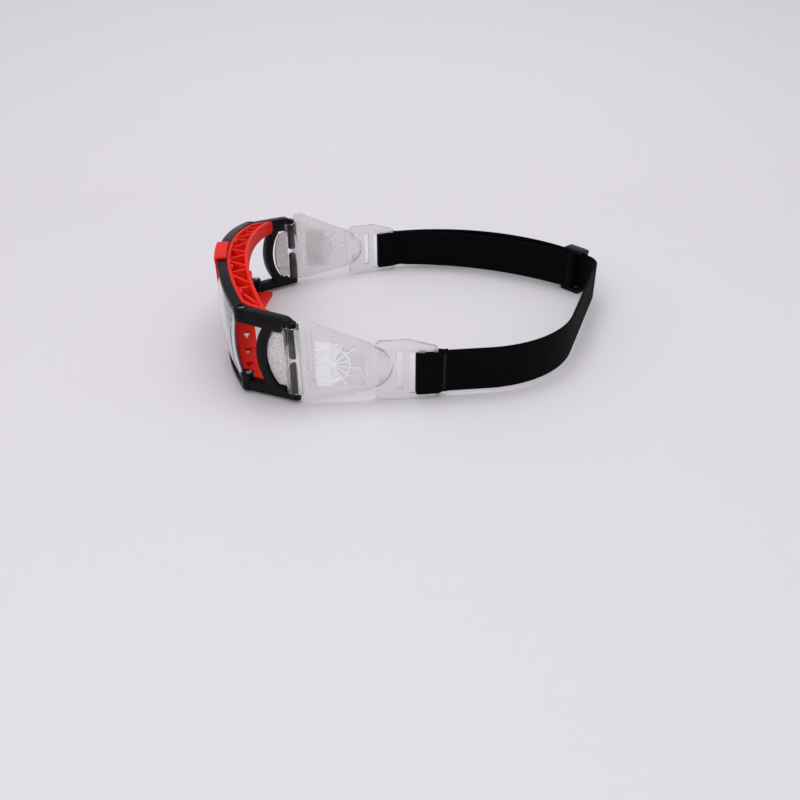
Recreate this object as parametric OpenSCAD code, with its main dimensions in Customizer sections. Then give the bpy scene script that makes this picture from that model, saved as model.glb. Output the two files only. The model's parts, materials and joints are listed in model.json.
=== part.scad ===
// Sports protective goggles: a wrap front with a removable padded liner, clear hinged temples,
// clear strap connectors and an elastic strap with a slider. Millimetres, +Z up, the lenses
// face -Y and the wearer's left is +X. The two hinge bars stand on the line Y = 0, and the
// goggles rest on Z = 0.

/* [Front frame] */
// Distance between the two hinge bars
hinge_span = 140; // [120:1:170]
// Distance from the hinge bars forward to the middle of the front
front_depth = 36; // [33:1:40]
// Radius of the front's wrap, seen from above
wrap_r = 165; // [150:1:190]
// Height of the front at its corners
frame_h = 43; // [41:1:52]
// Depth of the rims, front to back
rim_d = 4.6; // [4.2:0.1:5.4]
// Height of the gap under the side arms
lift = 1.6; // [1:0.2:3]
// Thickness of the side loops
side_t = 4.4; // [4:0.2:5]
// Diameter of the hinge bars
bar_d = 4.6; // [4:0.2:5]

/* [Lenses] */
// Thickness of a lens
lens_t = 2; // [1.6:0.1:2.2]
// Radius of the nasal lower corner of a lens
lens_r = 33; // [30:1:35]
// How far the lenses bulge at half their height
lens_bulge = 3.2; // [2.4:0.2:3.6]
// Width left between the two lenses at the nose
nose_gap = 18; // [16:1:22]

/* [Liner] */
// Depth of the brow liner at the middle, front to back
brow_d = 10.6; // [9:0.2:13]
// Height of the brow liner's walls
brow_h = 7.5; // [6:0.5:9]
// Thickness of the liner's walls
liner_t = 1.6; // [1.2:0.1:2]
// Number of ribs in the zigzag of the brow liner
rib_count = 12; // [10:1:18]

/* [Temples] */
// Distance from a temple's hinge to the pivot of its connector
temple_len = 39.5; // [36:0.5:48]
// Thickness of a temple's plate
plate_t = 1.8; // [1.4:0.1:2.2]
// Angle of the right temple away from straight back
right_splay = 14; // [6:1:16]

/* [Connectors and strap] */
// Width of the strap
strap_w = 22; // [20:0.5:24]
// Thickness of the strap
strap_t = 1.3; // [1:0.1:1.5]
// Thickness of a connector
conn_t = 2.4; // [2:0.1:2.8]
// Radius of the strap's bend at the right
right_r = 105; // [98:1:115]
// Angle that the strap turns through at the right, up to the slider
right_turn = 69; // [60:1:72]
// Radius of the tight bend behind the slider
corner_r = 14; // [12:1:20]
// Radius of the strap's bend at the left
left_r = 56; // [48:1:60]
// Straight length of strap behind the left connector
left_run = 19; // [16:1:28]

/* [Hidden] */
$fn = 64;

black = "#1b1b1e";
red = "#d83a2c";
clear = [0.86, 0.87, 0.9, 0.35];
webbing = "#101014";
steel = "silver";

play = 0.08;                          // running clearance of a pin in its hole
gap = 0.5;                            // room between parts that move past each other
far = 80;                             // longer than any part that is cut with it
step = 0.15;                          // small step where one face ends beside another
hinge_x = hinge_span / 2;
bar_r = bar_d / 2;

// The front wraps round an upright axis behind it, and its top edge is a shallow arch
wrap_y = wrap_r - front_depth;
corner_x = hinge_x - 12;
rim_h = 3.4;
rim_w = 2.6;
crown = 5;                            // rise of the upper rim towards the middle
top_z = lift + frame_h;
crown_r = (corner_x * corner_x + crown * crown) / (2 * crown);
crown_z = top_z + crown - crown_r;
low_z = lift + rim_w;                 // lower edge of the lenses
lens_edge = corner_x - 2;             // exposed outer edge of a lens
lens_cx = nose_gap / 2 + lens_r;
lens_cz = low_z + lens_r;
lens_out = wrap_r - 1.2;              // front face of the lenses, at their upper and lower edges
lens_mid_z = low_z + frame_h / 2 - 0.7;
lens_half = frame_h / 2 - 0.5;        // half of the height that the lenses bulge over
lens_rv = (pow(lens_half, 2) + pow(lens_bulge, 2)) / (2 * lens_bulge);  // their upright curve
lip = 1.1;                            // how far a lens goes into the rim's groove
screw_r = 0.7;
screw_head_r = 1.35;
screw_head_h = 0.8;

// Side loop: an upright plate from the front's corner to the hinge bar
boss_r = 3.2;
boss = [corner_x - 1.1, wrap_y - sqrt(pow(wrap_r, 2) - pow(corner_x - 1.1, 2)) + boss_r];
side_len = norm([hinge_x, 0] - boss);
side_a = atan2(-boss.y, hinge_x - boss.x);
arm_high = 7.2;                       // height of the upper arm
arm_low = 5.2;                        // height of the lower arm
arm_end = 3.4;                        // height of both arms at the bar, over the temple's sleeve
arm_drop = 1.8;                       // how far the upper arm's end is rounded down
arm_notch = bar_r + 2.4;              // from the bar's axis to where the arms get their full height
bar_top = top_z - 1.4;
mid_z = lift + 20.4;                  // middle of the gap between the two halves of a bar
bar_gap = 3;
strut_r = 27;                         // outer radius of the curved strut
strut_w = 4.5;
strut_s = side_len - 18.6 + strut_r;  // centre of the strut's curve along the loop
screw_at = boss + [0.4, 0.5];
clip_h = 3;                           // height of a lower lens clip

// Liner: between the rims and the curve of the face
liner_r = wrap_r - rim_d - 0.15;      // outer radius of the liner
face_r = 190;                         // radius of the liner's side against the face
liner_room = 0.15;                    // room between the liner and the frame
face_y = brow_d - front_depth + rim_d + face_r;
rib_lean = 31;
pad_h = 2.8;                          // thickness of the liner under the lenses
vent_r = 2.3;                         // size of the three-cornered vents
stud_r = 1.1;
stud_head_r = 1.9;
stud_in = 1;                          // how far a stud goes into the rim
stud_drop = 1.75;                     // from the frame's top edge down to the studs
stud_out = corner_x - 14;             // place of the outer studs along X
stud_mid = 18;                        // place of the studs above the eyes

// Temple, in its own frame: hinge axis at the origin, outer side at +X
sleeve_r = bar_r + 1.6;
sleeve_lo = lift + arm_end + 0.6;
sleeve_hi = bar_top - arm_end - 0.6;
flap_lo = lift + arm_low + 1.1;
flap_hi = bar_top - arm_high - 1.1;
plate_out = sleeve_r - 0.15;
plate_x = plate_out - plate_t;
plate_lo = lift + 1.2;
plate_hi = bar_top - 0.4;
flap_t = 1.2;
tail_r = 10.4;                        // rounded end of the temple, inside the connector
tail_z = 18;
tail_y = temple_len - 5.4;
tail_t = 3;
pin_r = 0.7;
pin_len = 5.4;                        // length of a pivot pin beyond the connector's cut-out
window_y = 9.5;                       // front end of the sunk window
window_end = 32;                      // rear end of the sunk window
window_lo = 9;                        // lower edge of the sunk window
window_in = 0.6;                      // depth of the sunk window
fan_at = [17, 20];                    // centre of the fan in the window

// Connector, in the temple's frame
strap_z = 2.4;
strap_top = strap_z + strap_w;
conn_x = plate_x + plate_t / 2;
slot_h = strap_w + 0.4;
conn_lo = strap_z - 2.2;
conn_hi = tail_z + 12.8;
conn_end = temple_len + 27;
conn_end_hi = strap_top + 2.4;
hook_y = temple_len + 18;             // front of the bar that carries the strap
hook_w = 3;
fold_y = temple_len + 32;             // where the fold ends and the strap's run begins

// Route of the strap in plan: right bend, tight bend, straight back, left bend, straight side
function turn(a, p) = [p.x * cos(a) - p.y * sin(a), p.x * sin(a) + p.y * cos(a)];
function ray(a) = [cos(a), sin(a)];
function heading(v) = (atan2(v.y, v.x) + 360) % 360;
left_end = [hinge_x + conn_x, fold_y + gap];
right_end = [-hinge_x, 0] + turn(right_splay, [-conn_x, fold_y + gap]);
start_a = 186;                        // the strap starts a little outwards behind the connector
right_c = right_end - right_r * ray(start_a);
slider_a = start_a - right_turn;
corner_c = right_c + (right_r - corner_r) * ray(slider_a);
left_c = left_end + [-left_r, left_run];
between = left_c - corner_c;
back_a = atan2(between.y, between.x) + asin((left_r - corner_r) / norm(between));
back_len = sqrt(pow(norm(between), 2) - pow(left_r - corner_r, 2));

// Slider, on the right bend, and the strap's end that is sewn round its centre bar
glide_a = slider_a + 5;
glide_half = 3.6;                     // half of the slider's length, in degrees of the bend
bar_half = 0.65;                      // half of the width of a slider's bar, in degrees
glide_t = 1.5;
glide_in = right_r - strap_t / 2 - strap_t - 0.4;
glide_out = right_r + strap_t / 2 + 0.2;
loop_in = glide_in - glide_t - 0.1 - strap_t;

// Inner layer of the strap, between the right connector and the slider
layer_p = right_end + [strap_t + 1, 3];
layer_q = right_c + (loop_in + strap_t / 2) * ray(glide_a + 1.6);
layer_r = 150;
layer_v = layer_p - layer_q;
layer_n = [layer_v.y, -layer_v.x] / norm(layer_v);
layer_c = (layer_p + layer_q) / 2 - layer_n * sqrt(pow(layer_r, 2) - pow(norm(layer_v) / 2, 2));
layer_a0 = heading(layer_q - layer_c);
layer_a1 = heading(layer_p - layer_c);

// ---- Helpers ----

// Extrudes a front view (X, Z) from one Y to another
module slab(y0, y1) {
    translate([0, y1, 0]) rotate([90, 0, 0]) linear_extrude(y1 - y0) children();
}

// Extrudes a side view (Y, Z) from one X to another
module side_slab(x0, x1) {
    translate([x0, 0, 0]) rotate([90, 0, 90]) linear_extrude(x1 - x0) children();
}

module both_sides() {
    children();
    mirror([1, 0, 0]) children();
}

// Part of an upright ring between two angles
module arc_wall(c, r0, r1, a0, a1, z0, z1) {
    translate([c.x, c.y, z0]) rotate([0, 0, a0]) rotate_extrude(angle = a1 - a0, $fn = 256)
        translate([r0, 0]) square([r1 - r0, z1 - z0]);
}

module wrap(r0, r1) {
    translate([0, wrap_y, -1]) difference() {
        cylinder(r = r1, h = far, $fn = 256);
        translate([0, 0, -1]) cylinder(r = r0, h = far + 2, $fn = 256);
    }
}

// Ring of the lenses' doubly curved wall, thicker by g on both sides
module lens_shell(g) {
    translate([0, wrap_y, 0]) rotate([0, 0, -150]) rotate_extrude(angle = 120, $fn = 256)
        intersection() {
            translate([lens_out + lens_bulge - lens_rv, lens_mid_z]) difference() {
                circle(lens_rv + g, $fn = 256);
                circle(lens_rv - lens_t - g, $fn = 256);
            }
            translate([wrap_r - 20, -2]) square([30, far]);
        }
}

module crown_disc(r) {
    translate([0, crown_z]) circle(r, $fn = 720);
}

// Front view of the left lens, grown all round by g
module lens_outline(g) {
    intersection() {
        union() {
            translate([lens_cx, lens_cz]) circle(lens_r + g, $fn = 128);
            translate([lens_cx, low_z - g]) square([lens_edge - lens_cx, far]);
        }
        translate([lens_cx - lens_r - g, low_z - g]) square([lens_edge - lens_cx + lens_r + g, far]);
        crown_disc(crown_r - rim_h + g);
    }
}

// Upright bar along Z at a place in plan
module post(p, r, z0, z1) {
    translate([p.x, p.y, z0]) cylinder(r = r, h = z1 - z0);
}

// ---- Front frame ----

module rim_outline() {
    intersection() {
        union() {
            translate([lens_cx, lens_cz]) circle(lens_r + rim_w, $fn = 128);
            translate([lens_cx, low_z - rim_w]) square([corner_x - lens_cx, far]);
        }
        translate([lens_cx - lens_r - rim_w, 0]) square([corner_x - lens_cx + lens_r + rim_w, far]);
        crown_disc(crown_r);
    }
}

module bridge_outline() {
    intersection() {
        crown_disc(crown_r);
        difference() {
            translate([-nose_gap / 2, lens_cz - 8]) square([nose_gap, far]);
            translate([0, lens_cz - 9]) circle(nose_gap / 2 - rim_w, $fn = 64);
        }
    }
}

// Opening of a lens, carried on past the outer edge, where the front has no rim
module lens_opening() {
    lens_outline(0);
    intersection() {
        translate([lens_edge - 1, low_z]) square([far, far]);
        crown_disc(crown_r - rim_h);
    }
}

// Side view of the two arms and the curved strut, along the loop from its boss to the bar
module loop_outline() {
    notch = side_len - arm_notch;
    polygon([[-1, lift], [side_len, lift], [side_len, lift + arm_end], [notch, lift + arm_end],
        [notch, lift + arm_low], [-1, lift + arm_low]]);
    polygon([[-1, top_z - arm_high], [notch, bar_top - arm_high], [notch, bar_top - arm_end],
        [side_len, bar_top - arm_end], [side_len, bar_top - arm_drop],
        [side_len - 1.6, bar_top - 0.5], [side_len - 3.6, bar_top], [5, top_z - 0.6], [-1, top_z]]);
    intersection() {
        difference() {
            translate([strut_s, mid_z]) circle(strut_r, $fn = 128);
            translate([strut_s, mid_z]) circle(strut_r - strut_w, $fn = 128);
        }
        translate([0, lift + 1]) square([side_len - arm_notch - 1, bar_top - arm_high + 2 - lift]);
    }
}

module side_loop() {
    translate([boss.x, boss.y, 0]) rotate([0, 0, side_a]) {
        slab(-side_t / 2, side_t / 2) loop_outline();
        // stop on the lower arm
        translate([side_len - 10, -1.4, lift + arm_low - 0.1]) cube([3.6, 2.8, 1]);
    }
    post(boss, boss_r, lift + step, lift + arm_low - step);
    post(boss, boss_r, top_z - arm_high + step, top_z - step);
    // hinge bar in two halves
    post([hinge_x, 0], bar_r, lift, mid_z - bar_gap / 2 - 1);
    translate([hinge_x, 0, mid_z - bar_gap / 2 - 1]) cylinder(r1 = bar_r, r2 = bar_r - 0.8, h = 1);
    post([hinge_x, 0], bar_r, mid_z + bar_gap / 2 + 1, bar_top - arm_drop - step);
    translate([hinge_x, 0, mid_z + bar_gap / 2]) cylinder(r1 = bar_r - 0.8, r2 = bar_r, h = 1);
}

module lens_groove() {
    intersection() {
        lens_shell(0.1);
        slab(-far, -10) lens_outline(lip + 0.1);
    }
}

// Rods on the studs' axes, from one distance off the wrap's axis to another
module at_studs(r, r0, r1) {
    for (x = [-stud_out, -stud_mid, stud_mid, stud_out])
        translate([0, wrap_y, crown_z + sqrt(crown_r * crown_r - x * x) - stud_drop])
            rotate([90, 0, asin(x / liner_r)]) translate([0, 0, r0]) cylinder(r = r, h = r1 - r0);
}

module stud_holes() {
    at_studs(stud_r + 0.05, liner_r - 4, liner_r + stud_in + 0.1);
    at_studs(stud_head_r + 0.1, liner_r - liner_t - 3, liner_r - liner_t);
}

module front_frame() color(black) {
    difference() {
        union() {
            intersection() {
                wrap(wrap_r - rim_d, wrap_r);
                slab(-far, -8) difference() {
                    union() {
                        both_sides() rim_outline();
                        bridge_outline();
                    }
                    both_sides() lens_opening();
                }
            }
            both_sides() side_loop();
        }
        both_sides() lens_groove();
        both_sides() {
            // upper screw with its sunk head, and the lower screw's hole
            post(screw_at, screw_r + 0.05, top_z - arm_high - 1, top_z + 2);
            post(screw_at, screw_head_r + 0.2, top_z - 1.2, top_z + 2);
            post(screw_at, screw_r + 0.05, lift + 1, lift + arm_low + 1);
        }
        stud_holes();
    }
}

// ---- Bridge cover and liners ----

module bridge_cover() color(red) {
    reach = nose_gap / 2 + 2;
    intersection() {
        wrap(wrap_r + 0.02, wrap_r + 1.4);
        slab(-far, -10) intersection() {
            crown_disc(crown_r + 1.3);
            difference() {
                translate([-reach, lens_cz - 6]) square([2 * reach, far]);
                translate([0, lens_cz - 9]) circle(nose_gap / 2 - rim_w + 1, $fn = 64);
                both_sides() lens_outline(lip + 0.3);
            }
        }
    }
    intersection() {
        wrap(wrap_r - rim_d, wrap_r + 1.4);
        slab(-far, -10) intersection() {
            difference() {
                crown_disc(crown_r + 1.3);
                crown_disc(crown_r + 0.02);
            }
            translate([-reach, 0]) square([2 * reach, far]);
        }
    }
}

// Plan of the liner between the rims and the face, drawn in by d on all sides
module liner_plan(d) {
    inner = boss + turn(side_a, [0, side_t / 2 + liner_room + d]);
    tip = inner + 14 * ray(side_a);
    difference() {
        intersection() {
            translate([0, wrap_y]) circle(liner_r - d, $fn = 256);
            polygon([[-inner.x, inner.y] - [6, 14], inner - [-6, 14], inner, tip, [-tip.x, tip.y],
                [-inner.x, inner.y]]);
        }
        translate([0, face_y]) circle(face_r + d, $fn = 360);
        both_sides() translate(boss) circle(boss_r + liner_room + d);
    }
}

module crown_band(top, low) {
    intersection() {
        slab(-far, 10) intersection() {
            difference() {
                crown_disc(crown_r - top);
                crown_disc(crown_r - low);
            }
            translate([-far, 20]) square([2 * far, far]);
        }
        linear_extrude(far) children();
    }
}

// Zigzag of ribs between the two walls of the brow liner
module brow_ribs() {
    pitch = 2 * (corner_x - 6) / rib_count;
    intersection() {
        liner_plan(liner_t / 2);
        for (i = [0 : rib_count - 1]) {
            x = -corner_x + 6 + (i + 0.5) * pitch;
            lean = (i % 2 == 0) ? rib_lean : -rib_lean;
            y = (face_y - sqrt(face_r * face_r - x * x) + wrap_y - sqrt(liner_r * liner_r - x * x)) / 2;
            translate([x, y]) rotate(lean - x * 0.45) square([1.2, 2 * brow_d], center = true);
        }
    }
}

module brow_liner() color(red) {
    tab = boss + turn(side_a, [3.4, side_t / 2 + liner_room]);
    difference() {
        union() {
            crown_band(0.5, brow_h) difference() {
                liner_plan(0);
                liner_plan(liner_t);
            }
            crown_band(1.4, brow_h - 0.5) brow_ribs();
            crown_band(brow_h - 1.2, brow_h) liner_plan(0.2);
        }
        stud_holes();
    }
    // flat ends that lie against the upper arms
    both_sides() translate([tab.x, tab.y, 0]) rotate([0, 0, side_a])
        translate([0, 0, top_z - arm_high + 0.6]) cube([9, liner_t, arm_high - 2]);
}

module cheek_outline(g) {
    intersection() {
        union() {
            translate([lens_cx, lens_cz]) circle(lens_r + g, $fn = 128);
            translate([lens_cx, low_z - g]) square([lens_edge - lens_cx - 2, far]);
        }
        square([lens_edge - 2, lens_cz - 2]);
    }
}

// Three-cornered vents through the wall beside the nose and under the lenses
module cheek_vents() {
    for (a = [196 : 16 : 276])
        translate([lens_cx, 0, lens_cz]) rotate([0, -a, 0])
            translate([lens_r, wrap_y - liner_r + 5.4 + (a - 180) * 0.03, 0])
                rotate([0, 90, 0]) rotate(180) cylinder(r = vent_r, h = 8, $fn = 3);
}

module cheek_liner() color(red) {
    pad_g = low_z;
    intersection() {
        union() {
            both_sides() difference() {
                slab(-far, 0) difference() {
                    cheek_outline(pad_g);
                    cheek_outline(pad_g - pad_h);
                }
                cheek_vents();
            }
            // link under the bridge
            slab(-far, 0) translate([-nose_gap / 2 + pad_h, lens_cz - 4.4])
                square([nose_gap - 2 * pad_h, 2.4]);
        }
        linear_extrude(far) liner_plan(0);
    }
}

module liner_studs() color(red) {
    at_studs(stud_r, liner_r - liner_t - 1, liner_r + stud_in);
    at_studs(stud_head_r, liner_r - liner_t - 1.2, liner_r - liner_t - 0.1);
}

// ---- Lenses and what holds them ----

module lens() color(clear) {
    intersection() {
        lens_shell(0);
        slab(-far, -10) lens_outline(lip);
    }
}

module lens_clip() color(black) {
    z = lift + arm_low;
    difference() {
        union() {
            post(boss, boss_r - 0.1, z, z + clip_h);
            intersection() {
                wrap(wrap_r - rim_d, wrap_r);
                translate([boss.x - 4, -far, z]) cube([4, far, clip_h]);
            }
        }
        intersection() {
            lens_shell(0.1);
            translate([0, -far, z - 1]) cube([lens_edge + 0.1, far, clip_h + 2]);
        }
        post(screw_at, screw_r + 0.05, z - 1, z + clip_h + 1);
    }
}

module screw(z, len) {
    post(screw_at, screw_r, z - len, z + 0.1);
    difference() {
        post(screw_at, screw_head_r, z, z + screw_head_h);
        translate([screw_at.x, screw_at.y, z + screw_head_h]) cube([3, 0.4, 0.8], center = true);
    }
}

module upper_lens_screws() color(steel) both_sides() screw(top_z - 1.2, 5.6);

module lower_lens_screws() color(steel) both_sides() screw(lift + arm_low + clip_h, clip_h + 3.6);

// ---- Temples ----

module plate_outline() {
    polygon([[bar_r + 1, plate_lo], [bar_r + 1, plate_hi], [bar_r + 5, plate_hi + 0.6],
        [tail_y + 2, tail_z + 11.4], [tail_y + 2, tail_z - 11.4], [bar_r + 9, plate_lo]]);
}

// Sunk window in the plate's outer face
module window_outline() {
    polygon([[window_y, window_lo], [window_y, window_lo + 24.5],
        [window_end, window_lo + 19.5], [window_end, window_lo]]);
}

// Raised fan of leaves in the window
module window_relief() {
    intersection() {
        window_outline();
        union() {
            translate([fan_at.x - 1, 0]) square([1.2, far]);
            for (z = [window_lo + 6 : 6.5 : window_lo + 20])
                translate([window_y, z]) square([fan_at.x - window_y - 0.5, 1]);
            translate(fan_at) circle(2);
            for (a = [-60 : 24 : 60]) translate(fan_at) rotate(a) square([18, 0.9]);
            difference() {
                translate(fan_at) circle(9);
                translate(fan_at) circle(8.1);
            }
        }
    }
}

module temple() color(clear) {
    difference() {
        union() {
            side_slab(plate_x, plate_out) plate_outline();
            side_slab(plate_x, plate_out) translate([0, sleeve_lo]) square([6, sleeve_hi - sleeve_lo]);
            post([0, 0], sleeve_r, sleeve_lo, sleeve_hi);
            // rounded end with the holes of the connector's pivot
            side_slab(conn_x - tail_t / 2, conn_x + tail_t / 2) intersection() {
                translate([tail_y, tail_z]) circle(tail_r);
                translate([tail_y + 1, 0]) square([far, far]);
            }
            // flap that fills the loop in front of the hinge
            rotate([0, 0, side_a - 180]) slab(-flap_t / 2, flap_t / 2) intersection() {
                translate([side_len - strut_s, mid_z]) circle(strut_r - strut_w - 0.5, $fn = 128);
                translate([bar_r + 0.6, flap_lo]) square([far, flap_hi - flap_lo]);
            }
            // two upright ribs behind the sleeve
            for (y = [5.4, 7.6])
                side_slab(plate_x + 1, plate_out + 0.4) translate([y, sleeve_lo + 3])
                    square([0.8, sleeve_hi - sleeve_lo - 3]);
        }
        post([0, 0], bar_r + play, sleeve_lo - 1, sleeve_hi + 1);
        for (z = [tail_z + 5, tail_z - 11]) post([conn_x, temple_len], pin_r + play, z, z + 6);
        side_slab(plate_out - window_in, plate_out + 1) difference() {
            window_outline();
            window_relief();
        }
    }
}

// ---- Connectors and the strap on them, in the temple's frame ----

module connector_outline() {
    front = temple_len - 2.2;
    difference() {
        polygon([[front, conn_lo + 1.5], [front + 1.5, conn_lo], [conn_end - 1, conn_lo],
            [conn_end, conn_lo + 1], [conn_end, conn_end_hi - 1], [conn_end - 1, conn_end_hi],
            [temple_len + 13, conn_hi], [front + 1.5, conn_hi], [front, conn_hi - 1.5]]);
        translate([tail_y, tail_z]) circle(tail_r + 0.7);
        translate([temple_len + 7.6, strap_z + 3]) square([3, strap_w - 2]);
        translate([hook_y - 4.5, strap_z - 0.2]) square([4.5, slot_h]);
        translate([hook_y + hook_w, strap_z - 0.2]) square([3.8, slot_h]);
    }
}

module connector() color(clear) {
    side_slab(conn_x - conn_t / 2, conn_x + conn_t / 2) connector_outline();
    post([conn_x, temple_len], pin_r, tail_z + 11 - pin_len, tail_z + 11);
    post([conn_x, temple_len], pin_r, tail_z - 11, tail_z - 11 + pin_len);
}

// The strap goes round the connector's bar and is sewn to itself behind it
module strap_fold() color(webbing) {
    t = conn_t / 2 + 0.1;
    y0 = hook_y - 0.1;
    translate([0, 0, strap_z]) linear_extrude(strap_w) difference() {
        union() {
            translate([conn_x - t - strap_t, y0 - strap_t / 2])
                square([2 * (t + strap_t), fold_y - y0 - 2]);
            translate([conn_x - t, y0 - strap_t]) square([2 * t, fold_y - y0 + strap_t]);
        }
        translate([conn_x - t, y0]) square([2 * t, conn_end + 0.2 - y0]);
    }
}

// Bar tack through the fold
module stitching() color(webbing) {
    x = conn_x + conn_t / 2 + 0.1 + strap_t;
    translate([x, conn_end + 0.8, strap_z + 2]) cube([0.2, 1.6, strap_w - 4]);
}

module on_left() translate([hinge_x, 0, 0]) children();

module on_right() translate([-hinge_x, 0, 0]) rotate([0, 0, right_splay]) mirror([1, 0, 0]) children();

// ---- Strap and slider ----

module strap_arc(c, r, a0, a1) {
    arc_wall(c, r - strap_t / 2, r + strap_t / 2, a0, a1, strap_z, strap_top);
}

module strap_left_run() color(webbing) {
    translate([left_end.x - strap_t / 2, left_end.y, strap_z])
        cube([strap_t, left_run + 0.05, strap_w]);
    strap_arc(left_c, left_r, 0, 90 + back_a);
}

module strap_back_run() color(webbing) {
    from = corner_c + corner_r * ray(90 + back_a);
    translate([from.x, from.y, strap_z]) rotate([0, 0, back_a])
        translate([-0.05, -strap_t / 2, 0]) cube([back_len + 0.05, strap_t, strap_w]);
    strap_arc(corner_c, corner_r, 90 + back_a, slider_a);
}

module strap_right_run() color(webbing) strap_arc(right_c, right_r, slider_a, start_a);

module strap_return_layer() color(webbing) strap_arc(layer_c, layer_r, layer_a0, layer_a1);

module strap_end_loop() color(webbing) {
    side = bar_half + 0.1;
    turn_a = side + 0.7;
    difference() {
        arc_wall(right_c, loop_in, glide_in + 0.1 + strap_t, glide_a - turn_a, glide_a + turn_a,
            strap_z, strap_top);
        arc_wall(right_c, glide_in - glide_t - 0.1, glide_in + 0.1, glide_a - side, glide_a + side,
            strap_z - 1, strap_top + 1);
    }
}

module slider() color(black) {
    low = strap_z - 2.2;
    high = strap_top + 2.2;
    for (z = [low, strap_top + 0.2])
        arc_wall(right_c, glide_in - glide_t - step, glide_out + glide_t + step,
            glide_a - glide_half, glide_a + glide_half, z, z + 2);
    for (side = [-1, 1]) {
        a = glide_a + side * (glide_half - bar_half - 0.1);
        arc_wall(right_c, glide_out, glide_out + glide_t, a - bar_half, a + bar_half, low + 1, high - 1);
    }
    arc_wall(right_c, glide_in - glide_t, glide_in, glide_a - bar_half, glide_a + bar_half,
        low + 1, high - 1);
}

front_frame();
bridge_cover();
brow_liner();
cheek_liner();
liner_studs();
lens();  // lens_left
mirror([1, 0, 0]) lens();  // lens_right
lens_clip();  // lens_clip_left
mirror([1, 0, 0]) lens_clip();  // lens_clip_right
upper_lens_screws();
lower_lens_screws();
on_left() temple();  // temple_left
on_right() temple();  // temple_right
on_left() connector();  // connector_left
on_right() connector();  // connector_right
on_left() strap_fold();  // strap_fold_left
on_right() strap_fold();  // strap_fold_right
strap_left_run();
strap_back_run();
strap_right_run();
strap_return_layer();
strap_end_loop();
slider();
on_left() stitching();  // stitching_left
on_right() stitching();  // stitching_right
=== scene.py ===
"""Sports protective goggles: the looks of the wrap front, its red liners, the clear temples and
connectors and the elastic strap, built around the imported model. All sizes are in metres."""

import json
import math

import bmesh
import bpy
from mathutils import Matrix, Vector


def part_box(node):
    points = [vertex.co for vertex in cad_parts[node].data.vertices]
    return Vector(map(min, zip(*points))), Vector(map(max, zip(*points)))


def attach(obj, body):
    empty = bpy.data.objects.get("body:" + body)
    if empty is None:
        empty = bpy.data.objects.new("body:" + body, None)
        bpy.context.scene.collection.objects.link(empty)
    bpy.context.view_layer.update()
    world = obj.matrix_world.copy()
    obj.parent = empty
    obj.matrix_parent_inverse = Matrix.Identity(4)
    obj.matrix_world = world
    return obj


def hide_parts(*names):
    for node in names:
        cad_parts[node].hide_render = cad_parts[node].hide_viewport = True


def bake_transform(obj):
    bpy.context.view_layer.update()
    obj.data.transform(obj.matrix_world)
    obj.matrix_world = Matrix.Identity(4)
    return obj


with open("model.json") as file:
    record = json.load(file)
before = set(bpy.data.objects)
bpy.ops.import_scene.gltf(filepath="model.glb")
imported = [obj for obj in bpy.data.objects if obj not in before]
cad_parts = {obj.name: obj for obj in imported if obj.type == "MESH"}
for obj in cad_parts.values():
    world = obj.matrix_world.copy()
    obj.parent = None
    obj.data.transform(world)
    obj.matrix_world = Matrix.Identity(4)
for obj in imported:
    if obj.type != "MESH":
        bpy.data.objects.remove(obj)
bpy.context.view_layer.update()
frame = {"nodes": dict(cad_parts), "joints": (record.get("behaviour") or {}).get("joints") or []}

bl_info = {
    "name": "Sports protective goggles",
    "version": (1, 0, 0),
    "blender": (4, 5, 0),
    "location": "View3D > Sidebar > Goggles",
    "description": "Builds a pair of sports protective goggles with an elastic head strap",
    "category": "Object",
}

MM = 0.001
JOINT_AT = {j["name"]: Vector(j["pos_m"]) for j in frame["joints"]}
ROOM = 0.5 * MM  # room between the end of a fold and the strap's run
SNUG = 0.1 * MM  # room between the webbing and the bar that it goes round
SHARP = math.radians(35)  # edges of a moulding that get a round
SMOOTH = math.radians(40)  # faces that shade as one surface
INNER_LEG = 0.98 * MM  # a fold's sewn leg, inward of the connector's middle
OUTER_LEG = 0.38 * MM  # its outer leg, outward of it
FLAP = -4.2 * MM  # ahead of this a temple is its stippled flap
SLEEVE = 4.3 * MM  # radius round a hinge that holds the temple's sleeve
PLATE_FROM = 20 * MM  # from here back a temple is a plain plate
WINDOW_Y = (9.6 * MM, 31.9 * MM)  # inside of a temple's window, back from the hinge
WINDOW_Z = (9.1 * MM, 33.4 * MM)
WINDOW_DEEP = 0.55 * MM  # the relief's faces lie less deep than this
EDGE_BORDER = 0.75 * MM  # width of the border round a lens's sawn edge
EDGE_ROUND = 0.2 * MM  # round of a lens's edges
JOINED = 12 * MM  # length of the strap's piece next to a connector
BENT = 72 * MM  # where the strap's second piece from the left ends
DOUBLED = 50 * MM  # the same on the right, for both layers, so that they are cut alike
STRAP_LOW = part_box("strap_back_run")[0].z
FOLD_LOW, FOLD_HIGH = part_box("strap_fold_left")
PLATE_LOW, PLATE_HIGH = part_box("connector_left")


# ---- Sizes and colours that a user would change ----


def length(name, description, default):
    return bpy.props.FloatProperty(
        name=name, description=description, default=default, min=0, unit="LENGTH"
    )


def colour(name, description, default):
    return bpy.props.StringProperty(name=name, description=description, default=default)


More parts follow.
